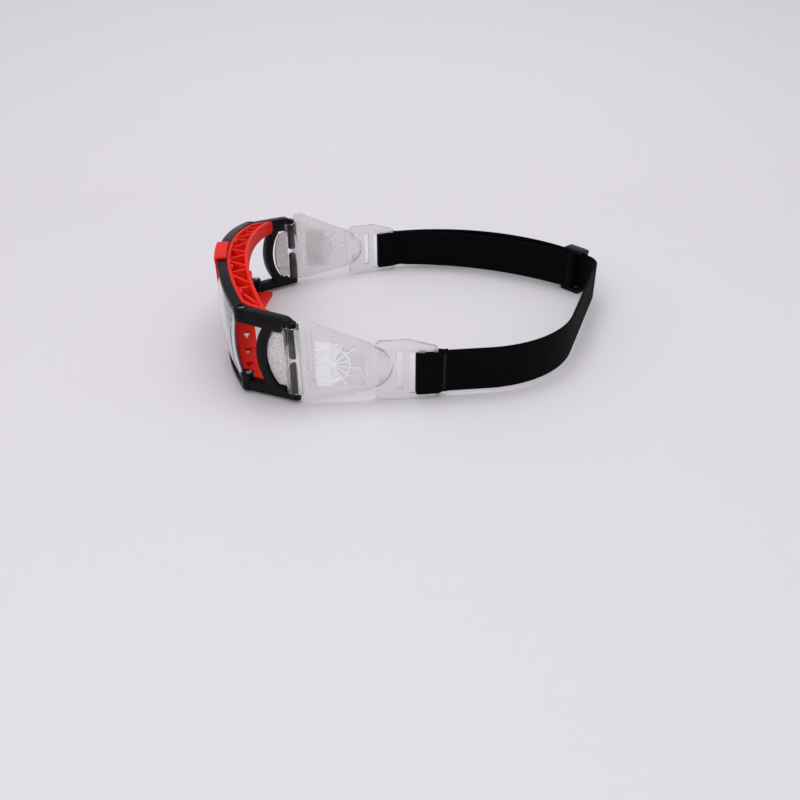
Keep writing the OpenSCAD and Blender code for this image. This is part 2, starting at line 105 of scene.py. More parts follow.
class GogglesSizes(bpy.types.PropertyGroup):
    """Sizes of the visible pieces"""

    frame_edge: length("Frame edge", "Radius of the black frame's moulded edges", 0.5 * MM)
    liner_edge: length("Liner edge", "Radius of the red liner's soft edges", 0.3 * MM)
    clear_edge: length("Clear edge", "Radius of the clear parts' edges", 0.22 * MM)
    strap_width: length("Strap width", "Width of the webbing", 22 * MM)
    strap_thickness: length("Strap thickness", "Thickness of the webbing", 1.3 * MM)
    left_radius: length("Left bend", "Radius of the strap's bend at the left", 56 * MM)
    left_straight: length("Left straight", "Straight strap behind the left connector", 19 * MM)
    right_turn: bpy.props.FloatProperty(
        name="Right turn",
        description="Angle that the strap turns through up to the slider",
        default=math.radians(69),
        subtype="ANGLE",
    )
    corner_radius: length("Back corner", "Radius of the bend behind the slider", 14 * MM)
    rib_pitch: length("Webbing ribs", "Distance between the ribs across the webbing", 1.1 * MM)
    stitch_length: length("Stitch length", "Length of one stitch of a bar tack", 1.6 * MM)


class GogglesColours(bpy.types.PropertyGroup):
    """Colours of the visible pieces, as sRGB hex values"""

    nylon: colour("Frame", "Black nylon of the front and the slider", "#070708")
    rubber: colour("Liner", "Red rubber of the liner and the bridge", "#e4210f")
    lens: colour("Lens", "Clear polycarbonate of the lenses", "#fbfcff")
    lens_edge: colour("Lens edge", "Purple coat on the cut edge of the lenses", "#3c1a5c")
    plastic: colour("Temples", "Clear plastic of the temples and connectors", "#ffffff")
    webbing: colour("Strap", "Black elastic webbing", "#040405")
    backdrop: colour("Backdrop", "Paper that the goggles stand on", "#dfdce1")


# ---- Helpers for materials ----


def linear(code):
    """An sRGB hex value as a linear colour with full alpha."""
    parts = [int(code[i : i + 2], 16) / 255 for i in (1, 3, 5)]
    return [p / 12.92 if p <= 0.04045 else ((p + 0.055) / 1.055) ** 2.4 for p in parts] + [1.0]


def add(tree, kind, settings=None, inputs=None):
    """Adds a node: settings by name, and for each input a value or the output it is linked to."""
    made = tree.nodes.new("ShaderNode" + kind)
    for key, value in (settings or {}).items():
        setattr(made, key, value)
    for key, value in (inputs or {}).items():
        if isinstance(value, bpy.types.NodeSocket):
            tree.links.new(value, made.inputs[key])
        else:
            made.inputs[key].default_value = value
    return made


def finish_of(name):
    """A new material with an empty tree, and its output node."""
    material = bpy.data.materials.new(name)
    material.use_nodes = True
    material.node_tree.nodes.clear()
    return material, material.node_tree


def close(tree, shader):
    add(tree, "OutputMaterial", inputs={"Surface": shader.outputs[0]})


def speckle(tree, size, detail=2.0):
    """Noise on the piece's own coordinates, with grains of a real size."""
    place = add(tree, "TexCoord")
    return add(
        tree,
        "TexNoise",
        inputs={"Vector": place.outputs["Object"], "Scale": 1 / size, "Detail": detail},
    )


def span(tree, value, low, high, from_low=0.3, from_high=0.7):
    """A value brought to a new range."""
    return add(
        tree,
        "MapRange",
        inputs={0: value, 1: from_low, 2: from_high, 3: low, 4: high},
    ).outputs[0]


def moulded_nylon():
    """Satin moulded nylon: near black, with soft grey highlights along its round edges and a faint
    flow grain of the mould."""
    material, tree = finish_of("moulded_nylon_black")
    colours = bpy.context.scene.goggles_colours
    grain = speckle(tree, 0.5 * MM)
    flow = speckle(tree, 9 * MM, 4)
    bump = add(tree, "Bump", inputs={"Strength": 0.05, "Distance": 0.05 * MM, "Height": grain.outputs[0]})
    shader = add(
        tree,
        "BsdfPrincipled",
        inputs={
            "Base Color": linear(colours.nylon),
            "Roughness": span(tree, flow.outputs[0], 0.3, 0.42),
            "IOR": 1.53,
            "Specular IOR Level": 0.13,
            "Normal": bump.outputs[0],
        },
    )
    close(tree, shader)
    return material


def soft_rubber():
    """Thermoplastic rubber moulded in a matt tool: saturated red that glows a little where light
    gets into its thin ribs, with a satin sheen."""
    material, tree = finish_of("moulded_rubber_red")
    colours = bpy.context.scene.goggles_colours
    base = linear(colours.rubber)
    cloud = speckle(tree, 6 * MM, 3)
    shade = add(
        tree,
        "Mix",
        {"data_type": "RGBA"},
        {0: span(tree, cloud.outputs[0], 0.0, 0.25), 6: base, 7: [c * 0.72 for c in base[:3]] + [1]},
    )
    grain = speckle(tree, 0.35 * MM)
    bump = add(tree, "Bump", inputs={"Strength": 0.12, "Distance": 0.04 * MM, "Height": grain.outputs[0]})
    shader = add(
        tree,
        "BsdfPrincipled",
        inputs={
            "Base Color": shade.outputs[2],
            "Roughness": 0.5,
            "IOR": 1.5,
            "Specular IOR Level": 0.18,
            "Subsurface Weight": 0.12,
            "Subsurface Radius": (1.0, 0.08, 0.04),
            "Subsurface Scale": 1.0 * MM,
            "Normal": bump.outputs[0],
        },
    )
    close(tree, shader)
    return material


def lens_plastic():
    """Hard-coated polycarbonate, optically clear, with a crisp reflection."""
    material, tree = finish_of("hard_coated_polycarbonate")
    colours = bpy.context.scene.goggles_colours
    smear = speckle(tree, 14 * MM, 3)
    shader = add(
        tree,
        "BsdfPrincipled",
        inputs={
            "Base Color": linear(colours.lens),
            "Roughness": span(tree, smear.outputs[0], 0.0, 0.02),
            "IOR": 1.585,
            "Transmission Weight": 1.0,
        },
    )
    close(tree, shader)
    return material


def lens_rim_plastic():
    """The cut and coated edge of a lens: a fine dark line with a violet sheen."""
    material, tree = finish_of("coated_lens_edge_violet")
    colours = bpy.context.scene.goggles_colours
    saw = speckle(tree, 0.4 * MM)
    shader = add(
        tree,
        "BsdfPrincipled",
        inputs={
            "Base Color": linear(colours.lens_edge),
            "Roughness": span(tree, saw.outputs[0], 0.2, 0.4),
            "IOR": 1.585,
            "Coat Weight": 0.5,
        },
    )
    close(tree, shader)
    return material


def clear_plastic(name, roughness, grain_size, depth, milk, painted_hollow_shade=0.03):
    """Clear moulded plastic: see-through with a milky haze from its grained surface, bright along
    its edges. The milk is the share of light that the haze scatters. The last argument is painted
    shade: how much darker, and a little pinker, the hollows of the grain are coloured."""
    material, tree = finish_of(name)
    colours = bpy.context.scene.goggles_colours
    grain = speckle(tree, grain_size)
    flow = speckle(tree, 5 * MM, 3)
    bump = add(tree, "Bump", inputs={"Strength": 0.5, "Distance": depth, "Height": grain.outputs[0]})
    base = linear(colours.plastic)
    # Painted shade: where the grain's bump is low, its colour is darker and a little pinker.
    painted_hollow_colour = [base[0] * (1 - painted_hollow_shade), base[1] * (1 - 1.35 * painted_hollow_shade), base[2] * (1 - 1.25 * painted_hollow_shade), 1]
    shade = add(
        tree,
        "Mix",
        {"data_type": "RGBA"},
        {0: span(tree, grain.outputs[0], 1.0, 0.0, 0.4, 0.58), 6: base, 7: painted_hollow_colour},
    )
    shader = add(
        tree,
        "BsdfPrincipled",
        inputs={
            "Base Color": shade.outputs[2],
            "Roughness": span(tree, flow.outputs[0], roughness * 0.8, roughness * 1.3),
            "IOR": 1.49,
            "Transmission Weight": 1 - milk,
            "Normal": bump.outputs[0],
        },
    )
    close(tree, shader)
    return material


def elastic_webbing():
    """Woven elastic polyester webbing: matt near black, with fine ribs across it, the lines of
    the rubber yarns along it and a little lint sheen. The ribs are drawn at their real pitch."""
    material, tree = finish_of("woven_elastic_webbing")
    sizes = bpy.context.scene.goggles_sizes
    colours = bpy.context.scene.goggles_colours
    uv = add(tree, "UVMap", {"uv_map": "weave"})
    split = add(tree, "SeparateXYZ", inputs={0: uv.outputs[0]})

    def ridge(value, pitch, lag=0.0):
        turned = add(tree, "Math", {"operation": "MULTIPLY_ADD"}, {0: value, 1: math.tau / pitch, 2: lag})
        return add(tree, "Math", {"operation": "SINE"}, {0: turned.outputs[0]}).outputs[0]

    ribs = ridge(split.outputs[0], sizes.rib_pitch)
    yarns = ridge(split.outputs[1], 1.6 * MM)
    weave = add(tree, "Math", {"operation": "MULTIPLY_ADD"}, {0: yarns, 1: 0.45, 2: ribs})
    lint = speckle(tree, 0.6 * MM, 3)
    wear = speckle(tree, 12 * MM, 3)
    height = add(
        tree, "Math", {"operation": "MULTIPLY_ADD"}, {0: lint.outputs[0], 1: 0.9, 2: weave.outputs[0]}
    )
    bump = add(tree, "Bump", inputs={"Strength": 0.6, "Distance": 0.12 * MM, "Height": height.outputs[0]})
    base = linear(colours.webbing)
    pale = [min(1.0, c * 1.8) for c in base[:3]] + [1]
    tint = add(
        tree,
        "Mix",
        {"data_type": "RGBA"},
        {0: span(tree, wear.outputs[0], 0.0, 0.5), 6: base, 7: pale},
    )
    shader = add(
        tree,
        "BsdfPrincipled",
        inputs={
            "Base Color": tint.outputs[2],
            "Roughness": 0.8,
            "Specular IOR Level": 0.06,
            "Sheen Weight": 0.01,
            "Sheen Roughness": 0.5,
            "Normal": bump.outputs[0],
        },
    )
    close(tree, shader)
    return material


def sewing_thread():
    """Twisted polyester thread, black with a slight lustre."""
    material, tree = finish_of("polyester_thread")
    twist = speckle(tree, 0.25 * MM)
    bump = add(tree, "Bump", inputs={"Strength": 0.5, "Distance": 0.05 * MM, "Height": twist.outputs[0]})
    shader = add(
        tree,
        "BsdfPrincipled",
        inputs={"Base Color": linear("#1c1c20"), "Roughness": 0.55, "Normal": bump.outputs[0]},
    )
    close(tree, shader)
    return material


def screw_steel():
    """Stainless steel of the small screws, turned and tumbled."""
    material, tree = finish_of("stainless_steel")
    marks = speckle(tree, 0.3 * MM)
    shader = add(
        tree,
        "BsdfPrincipled",
        inputs={
            "Base Color": linear("#c4c3c6"),
            "Metallic": 1.0,
            "Roughness": span(tree, marks.outputs[0], 0.18, 0.35),
        },
    )
    close(tree, shader)
    return material


def backdrop_paper():
    """Matt seamless paper, pale with a touch of lavender, with painted shade that darkens it as it rises
    up the sweep's wall.
    """
    material, tree = finish_of("seamless_paper")
    fibre = speckle(tree, 1.5 * MM)
    place = add(tree, "TexCoord")
    height = add(tree, "SeparateXYZ", inputs={0: place.outputs["Object"]})
    base = linear(bpy.context.scene.goggles_colours.backdrop)
    # Painted shade: the paper darkens with height, to four fifths of its colour half a metre up the wall.
    shade = add(
        tree,
        "Mix",
        {"data_type": "RGBA"},
        {
            0: span(tree, height.outputs[2], 0.0, 1.0, 0.0, 0.5),
            6: base,
            7: [c * 0.8 for c in base[:3]] + [1],
        },
    )
    bump = add(tree, "Bump", inputs={"Strength": 0.03, "Distance": 0.05 * MM, "Height": fibre.outputs[0]})
    shader = add(
        tree,
        "BsdfPrincipled",
        inputs={
            "Base Color": shade.outputs[2],
            "Roughness": 0.55,
            "Specular IOR Level": 0.35,
            "Normal": bump.outputs[0],
        },
    )
    close(tree, shader)
    return material


# ---- Helpers for meshes ----


def only(piece):
    """Deselects everything, then selects one piece and makes it the active one."""
    bpy.ops.object.select_all(action="DESELECT")
    piece.select_set(True)
    bpy.context.view_layer.objects.active = piece


def apply(piece, kind, **settings):
    """Adds a modifier with its settings and applies it."""
    only(piece)
    modifier = piece.modifiers.new(kind.title(), kind)
    for key, value in settings.items():
        setattr(modifier, key, value)
    bpy.ops.object.modifier_apply(modifier=modifier.name)


def cast_of(node, name):
    """A merged copy of a CAD node's mesh as a new piece that stands for the node."""
    piece = bpy.data.objects.new(name, frame["nodes"][node].data.copy())
    bpy.context.scene.collection.objects.link(piece)
    piece.data.materials.clear()
    only(piece)
    bpy.ops.object.mode_set(mode="EDIT")
    bpy.ops.mesh.select_all(action="SELECT")
    bpy.ops.mesh.customdata_custom_splitnormals_clear()
    bpy.ops.mesh.remove_doubles(threshold=0.002 * MM)
    bpy.ops.object.mode_set(mode="OBJECT")
    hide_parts(node)
    return piece


def moulded(node, name, edge, material, body, segments=2):
    """A CAD node's shape with the round edges that a mould gives it."""
    piece = cast_of(node, name)
    apply(
        piece,
        "BEVEL",
        width=edge,
        segments=segments,
        limit_method="ANGLE",
        angle_limit=SHARP,
        use_clamp_overlap=True,
        miter_outer="MITER_ARC",
    )
    dress(piece, material)
    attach(piece, body)
    return piece


def dress(piece, material):
    """Smooth shading and the material."""
    piece.data.materials.append(material)
    only(piece)
    bpy.ops.object.shade_smooth_by_angle(angle=SMOOTH)


def rounded(corners, radius, step=math.radians(9)):
    """A polyline in plan with its inner corners rounded."""
    points = [Vector(corners[0])]
    for before, corner, after in zip(corners, corners[1:], corners[2:]):
        a, c, b = Vector(before), Vector(corner), Vector(after)
        u, v = (a - c).normalized(), (b - c).normalized()
        half = math.acos(max(-1, min(1, u.dot(v)))) / 2
        cut = min(radius / math.tan(half), 0.48 * (a - c).length, 0.48 * (b - c).length)
        r = cut * math.tan(half)
        centre = c + (u + v).normalized() * (r / math.sin(half))
        first, sweep = c + u * cut - centre, math.pi - 2 * half
        way = 1 if first.cross(v - u) > 0 else -1
        steps = max(2, round(sweep / step))
        points += [centre + Matrix.Rotation(way * sweep * i / steps, 2) @ first for i in range(steps + 1)]
    return points + [Vector(corners[-1])]


def arc(centre, radius, a0, a1, step=0.0012):
    """Points on an arc in plan, from one angle to another."""
    steps = max(2, round(abs(a1 - a0) * radius / step))
    angles = [a0 + (a1 - a0) * i / steps for i in range(steps + 1)]
    return [centre + radius * Vector((math.cos(a), math.sin(a))) for a in angles]


def lengths(path):
    """How far along a path each of its points lies."""
    out = [0.0]
    for a, b in zip(path, path[1:]):
        out.append(out[-1] + (b - a).length)
    return out


def stretch_of(path, start, end, step=0.0012):
    """The part of a path between two lengths, with evenly spaced points."""
    along = lengths(path)
    count = max(2, round((end - start) / step))
    out, k = [], 0
    for i in range(count + 1):
        s = start + (end - start) * i / count
        while k < len(along) - 2 and along[k + 1] < s:
            k += 1
        t = (s - along[k]) / max(along[k + 1] - along[k], 1e-9)
        out.append(path[k].lerp(path[k + 1], max(0.0, min(1.0, t))))
    return out


def webbing(name, path, begin=0.0, slot="webbing"):
    """A strap on edge along a path in plan. Its selvedges are rounder and thinner than its middle.
    The UV map holds the length along the strap and the height on it, in metres."""
    sizes = bpy.context.scene.goggles_sizes
    half, width = sizes.strap_thickness / 2, sizes.strap_width
    rise = [0, 0.12, 0.45, 1.1, 2.2, 5, 8, 11]
    rise = [r * MM for r in rise] + [width - r * MM for r in rise[-2::-1]]
    full = [0.25, 0.62, 0.9, 1.0, 0.97, 1, 1, 1]
    full = full + full[-2::-1]
    section = [(half * f, STRAP_LOW + r) for r, f in zip(rise, full)]
    section += [(-x, z) for x, z in reversed(section)]
    mesh = bmesh.new()
    layer = mesh.loops.layers.uv.new("weave")
    along = [begin + s for s in lengths(path)]
    rings = []
    for i, p in enumerate(path):
        ahead = path[min(i + 1, len(path) - 1)] - path[max(i - 1, 0)]
        side = Vector((ahead.y, -ahead.x)).normalized()
        rings.append([mesh.verts.new((p.x + side.x * x, p.y + side.y * x, z)) for x, z in section])
    count = len(section)
    for i in range(len(rings) - 1):
        for j in range(count):
            k = (j + 1) % count
            face = mesh.faces.new((rings[i][j], rings[i + 1][j], rings[i + 1][k], rings[i][k]))
            for loop, s, z in zip(face.loops, (i, i + 1, i + 1, i), (j, j, k, k)):
                loop[layer].uv = (along[s], section[z][1])
            face.smooth = True
    for ring in (rings[0][::-1], rings[-1]):
        for j in range(count // 2 - 1):
            mesh.faces.new((ring[j], ring[j + 1], ring[count - 2 - j], ring[count - 1 - j]))
    bmesh.ops.recalc_face_normals(mesh, faces=mesh.faces)
    data = bpy.data.meshes.new(name)
    mesh.to_mesh(data)
    mesh.free()
    piece = bpy.data.objects.new(name, data)
    bpy.context.scene.collection.objects.link(piece)
    return piece


# ---- The strap's route in plan ----


def ray(angle):
    return Vector((math.cos(angle), math.sin(angle)))


def beside(side, out, back):
    """A point in plan from a temple's own frame: out from its hinge bar and back along it."""
    if side == "left":
        return JOINT_AT["left_temple_hinge"].xy + Vector((out, back))
    rest = JOINT_AT["left_connector_pivot"].xy - JOINT_AT["left_temple_hinge"].xy
    rest.x = -rest.x
    real = JOINT_AT["right_connector_pivot"].xy - JOINT_AT["right_temple_hinge"].xy
    splay = math.atan2(real.y, real.x) - math.atan2(rest.y, rest.x)
    return JOINT_AT["right_temple_hinge"].xy + Matrix.Rotation(splay, 2) @ Vector((-out, back))


def connector_out():
    """How far the middle of a connector lies out from its temple's hinge bar."""
    return JOINT_AT["left_connector_pivot"].x - JOINT_AT["left_temple_hinge"].x


class Route:
    """Centrelines of the strap's stretches in plan."""

    def __init__(self):
        sizes = bpy.context.scene.goggles_sizes
        self.thick = sizes.strap_thickness
        self.fold_end = FOLD_HIGH.y + ROOM
        self.left_end = beside("left", connector_out(), self.fold_end)
        self.right_end = beside("right", connector_out(), self.fold_end)
        self.right_c = JOINT_AT["slider_travel"].xy
        reach = self.right_end - self.right_c
        self.right_r = reach.length
        self.start_a = math.atan2(reach.y, reach.x) % math.tau
        self.slider_a = self.start_a - sizes.right_turn
        left_c = self.left_end + Vector((-sizes.left_radius, sizes.left_straight))
        corner_c = self.right_c + (self.right_r - sizes.corner_radius) * ray(self.slider_a)
        between = left_c - corner_c
        less = sizes.left_radius - sizes.corner_radius
        up = math.pi / 2 + math.atan2(between.y, between.x) + math.asin(less / between.length)
        path = [self.left_end] + arc(left_c, sizes.left_radius, 0, up)
        path += arc(corner_c, sizes.corner_radius, up, self.slider_a, 0.6 * MM)
        path += arc(self.right_c, self.right_r, self.slider_a, self.start_a)[1:]
        self.main = path
        self.full = lengths(path)[-1]
        # slider and the loop on its middle bar
        self.glide_a = self.slider_a + math.radians(5)
        self.bar_out = self.right_r - 1.5 * self.thick - 0.4 * MM
        self.bar_in = self.bar_out - 1.5 * MM
        self.loop_r = self.bar_in - SNUG - self.thick / 2
        # return layer: from the right fold's inner leg to the loop
        first = self.right_end + Vector((self.thick + MM, 3 * MM))
        last = self.right_c + self.loop_r * ray(self.glide_a + math.radians(1.6))
        chord = last - first
        across = Vector((chord.y, -chord.x)).normalized()
        radius = 150 * MM
        centre = (first + last) / 2 + across * math.sqrt(radius**2 - (chord.length / 2) ** 2)
        a0 = math.atan2((first - centre).y, (first - centre).x) % math.tau
        a1 = math.atan2((last - centre).y, (last - centre).x) % math.tau
        inner = beside("right", connector_out() - 1.0 * self.thick, self.fold_end)
        self.layer = [inner] + arc(centre, radius, a0, a1)


def fold_path(side, thick):
    """The webbing round a connector's bar: the sewn leg inside, the bar, and the outer leg that
    runs on as the strap."""
    half = (PLATE_HIGH.x - PLATE_LOW.x) / 2 + SNUG + thick / 2
    front = FOLD_LOW.y + thick / 2
    back = PLATE_HIGH.y
    end = FOLD_HIGH.y
    inner_end = end + ROOM if side == "right" else end - 0.2 * MM
    mid = connector_out()
    corners = [
        (mid - thick, inner_end),
        (mid - INNER_LEG, end - MM),
        (mid - INNER_LEG, back + 2.4 * MM),
        (mid - half, back + 0.3 * MM),
        (mid - half, front),
        (mid + half, front),
        (mid + half, back + 0.3 * MM),
        (mid + OUTER_LEG, back + 2.4 * MM),
        (mid + OUTER_LEG, end - MM),
        (mid, end + ROOM),
    ]
    return rounded([beside(side, *c) for c in corners], 0.9 * MM)


# ---- Operators: one for each piece or group of like pieces ----


class BuildOperator:
    """What every operator of this add-on shares."""

    bl_options = {"REGISTER", "UNDO"}


class GOGGLES_OT_stage(BuildOperator, bpy.types.Operator):
    """Seamless paper sweep, soft lights, pale surroundings and the camera"""

    bl_idname = "goggles.stage"
    bl_label = "Stage"

    def execute(self, context):
        heading = math.radians(6.94)  # of the camera, from -X towards +Y
        pitch = math.radians(31.5)
        bpy.ops.object.select_all(action="DESELECT")
        bpy.ops.mesh.primitive_plane_add(size=1, location=(0, 0, 0))
        paper = context.active_object
        paper.name = "PaperSweep"
        bpy.ops.object.mode_set(mode="EDIT")
        bpy.ops.transform.resize(value=(3.2, 5, 1))
        bpy.ops.transform.translate(value=(1.1, 0, -0.05 * MM))
        bpy.ops.object.mode_set(mode="OBJECT")
        mesh = bmesh.new()
        mesh.from_mesh(paper.data)
        far_edge = [e for e in mesh.edges if all(v.co.x < -0.4 for v in e.verts)]
        wall = bmesh.ops.extrude_edge_only(mesh, edges=far_edge)
        for v in wall["geom"]:
            if isinstance(v, bmesh.types.BMVert):
                v.co += Vector((-0.05, 0, 1.6))
        mesh.edges.ensure_lookup_table()
        bmesh.ops.bevel(mesh, geom=far_edge, offset=0.28, segments=24, affect="EDGES", profile=0.5)
        bmesh.ops.recalc_face_normals(mesh, faces=mesh.faces)
        mesh.to_mesh(paper.data)
        mesh.free()
        paper.data.transform(Matrix.Rotation(-heading, 4, "Z"))
        paper.data.materials.append(backdrop_paper())
        only(paper)
        bpy.ops.object.shade_smooth()

        def softbox(name, where, size, power, look_at):
            bpy.ops.object.light_add(type="AREA", location=where)
            lamp = context.active_object
            lamp.name = name
            lamp.data.shape = "SQUARE"
            lamp.data.size = size
            lamp.data.energy = power
            aim = Vector(look_at) - Vector(where)
            lamp.rotation_euler = aim.to_track_quat("-Z", "Y").to_euler()

        softbox("SoftboxAbove", (-0.35, 0.2, 1.2), 1.2, 11, (0, 0.08, 0))
        softbox("SoftboxFront", (0.8, -0.6, 0.9), 0.7, 4, (0, 0.05, 0))
        world = bpy.data.worlds.new("PaleRoom")
        world.use_nodes = True
        world.node_tree.nodes["Background"].inputs[0].default_value = linear("#efedf1")
        world.node_tree.nodes["Background"].inputs[1].default_value = 0.62
        context.scene.world = world
        context.scene.view_settings.view_transform = "Standard"
        bpy.ops.object.camera_add(location=(0.3959, 0.0094, 0.1982))
        camera = context.active_object
        camera.name = "Camera"
        camera.data.sensor_width = 36
        camera.data.lens = 36
        camera.data.clip_start = 0.01
        aim = Vector((-math.cos(heading), math.sin(heading), 0)) * math.cos(pitch)
        aim.z = -math.sin(pitch)
        camera.rotation_euler = aim.to_track_quat("-Z", "Y").to_euler()
        context.scene.camera = camera
        return {"FINISHED"}


class GOGGLES_OT_front(BuildOperator, bpy.types.Operator):
    """Black front frame and the clips at the lenses' lower corners"""

    bl_idname = "goggles.front"
    bl_label = "Front frame and clips"

    def execute(self, context):
        nylon = moulded_nylon()
        edge = context.scene.goggles_sizes.frame_edge
        moulded("front_frame", "FrontFrame", edge, nylon, "front")
        moulded("lens_clip_left", "LensClipLeft", edge / 2, nylon, "front")
        moulded("lens_clip_right", "LensClipRight", edge / 2, nylon, "front")
        return {"FINISHED"}


class GOGGLES_OT_liner(BuildOperator, bpy.types.Operator):
    """Red bridge cover, brow liner and cheek liner with its studs"""

    bl_idname = "goggles.liner"
    bl_label = "Liners and bridge cover"

    def execute(self, context):
        rubber = soft_rubber()
        edge = context.scene.goggles_sizes.liner_edge
        moulded("bridge_cover", "BridgeCover", 2 * edge, rubber, "front", segments=3)
        moulded("brow_liner", "BrowLiner", edge, rubber, "front")
        moulded("cheek_liner", "CheekLiner", 2 * edge, rubber, "front")
        moulded("liner_studs", "LinerStuds", edge / 2, rubber, "front")
        return {"FINISHED"}


class GOGGLES_OT_lenses(BuildOperator, bpy.types.Operator):
    """Two clear wrap lenses with a violet coat on their outer edges"""

    bl_idname = "goggles.lenses"
    bl_label = "Lenses"

    def line_edge(self, piece, way, edge_x):
        """Gives the violet coat to the rear border of the lens's sawn edge, and a haze to the rest."""
        mesh = bmesh.new()
        mesh.from_mesh(piece.data)
        cut = [f for f in mesh.faces if way * f.normal.x > 0.99]
        cut = [f for f in cut if way * f.calc_center_median().x > edge_x - 0.01 * MM]
        border = bmesh.ops.inset_region(mesh, faces=cut, thickness=EDGE_BORDER)["faces"]
        for face in cut + border:
            face.material_index = 2
        for face in border:
            inner = [v for v in face.verts if any(f in cut for f in v.link_faces)]
            outer = [v for v in face.verts if v not in inner]
            if inner and outer:
                ahead = sum(v.co.y for v in outer) / len(outer) - sum(v.co.y for v in inner) / len(inner)
                if ahead > EDGE_ROUND:
                    face.material_index = 1
        for face in mesh.faces:
            rear = way * face.calc_center_median().x > edge_x - EDGE_ROUND and face.normal.y > 0.3
            if rear and 0.3 < way * face.normal.x < 0.99:
                face.material_index = 1
        mesh.to_mesh(piece.data)
        mesh.free()

    def execute(self, context):
        clear, violet = lens_plastic(), lens_rim_plastic()
        haze = clear_plastic("sawn_polycarbonate", 0.4, 0.3 * MM, 0.02 * MM, 0.7)
        for side, way in (("left", 1), ("right", -1)):
            piece = cast_of("lens_" + side, "Lens" + side.title())
            edge_x = max(way * v.co.x for v in piece.data.vertices)
            apply(
                piece,
                "BEVEL",
                width=EDGE_ROUND,
                segments=2,
                limit_method="ANGLE",
                angle_limit=math.radians(50),
            )
            dress(piece, clear)
            piece.data.materials.append(violet)
            piece.data.materials.append(haze)
            self.line_edge(piece, way, edge_x)
            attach(piece, "front")
        return {"FINISHED"}


class GOGGLES_OT_screws(BuildOperator, bpy.types.Operator):
    """Small steel screws at the lenses' corners"""

    bl_idname = "goggles.screws"
    bl_label = "Screws"

    def execute(self, context):
        steel = screw_steel()
        moulded("upper_lens_screws", "UpperScrews", 0.1 * MM, steel, "front")
        moulded("lower_lens_screws", "LowerScrews", 0.1 * MM, steel, "front")
        return {"FINISHED"}


class GOGGLES_OT_temples(BuildOperator, bpy.types.Operator):
    """Clear temples, each with a stippled flap in front of its hinge and a relief in its window"""

    bl_idname = "goggles.temples"
    bl_label = "Temples"

    def execute(self, context):
        edge = context.scene.goggles_sizes.clear_edge
        clear = clear_plastic("frosted_temple_plastic", 0.32, 0.5 * MM, 0.002 * MM, 0.45)
        # The flap's stipple has strong painted shade in the hollows of its grain.
        stipple = clear_plastic("stippled_temple_plastic", 0.3, 0.8 * MM, 0.2 * MM, 0.6, 0.3)
        milky = clear_plastic("milky_relief_plastic", 0.3, 0.4 * MM, 0.01 * MM, 0.95)
        sleeve = clear_plastic("polished_sleeve_plastic", 0.04, 0.8 * MM, 0.005 * MM, 0.0)
        for side in ("left", "right"):
            piece = moulded(
                "temple_" + side, "Temple" + side.title(), edge, clear, side + "_temple"
            )
            for material in (stipple, milky, sleeve):
                piece.data.materials.append(material)
            hinge = JOINT_AT[side + "_temple_hinge"]
            tail = JOINT_AT[side + "_connector_pivot"] - hinge
            back = Vector((tail.x, tail.y, 0)).normalized()
            out = Vector((back.y, -back.x, 0)) * (1 if side == "left" else -1)
            face_out = max((v.co - hinge).dot(out) for v in piece.data.vertices if v.co.y > PLATE_FROM)
            for face in piece.data.polygons:
                at = face.center - hinge
                y, x = at.dot(back), at.dot(out)
                if y < FLAP:
                    face.material_index = 1
                elif math.hypot(at.x, at.y) < SLEEVE:
                    face.material_index = 3
                elif WINDOW_Y[0] < y < WINDOW_Y[1] and WINDOW_Z[0] < face.center.z < WINDOW_Z[1]:
                    if face_out - WINDOW_DEEP < x:
                        face.material_index = 2
        return {"FINISHED"}


class GOGGLES_OT_connectors(BuildOperator, bpy.types.Operator):
    """Clear slotted connectors between the temples and the strap"""

    bl_idname = "goggles.connectors"
    bl_label = "Connectors"

    def execute(self, context):
        edge = context.scene.goggles_sizes.clear_edge
        clear = clear_plastic("clear_connector_plastic", 0.15, 0.8 * MM, 0.004 * MM, 0.32)
        for side in ("left", "right"):
            moulded(
                "connector_" + side,
                "Connector" + side.title(),
                edge,
                clear,
                side + "_connector",
            )
        return {"FINISHED"}


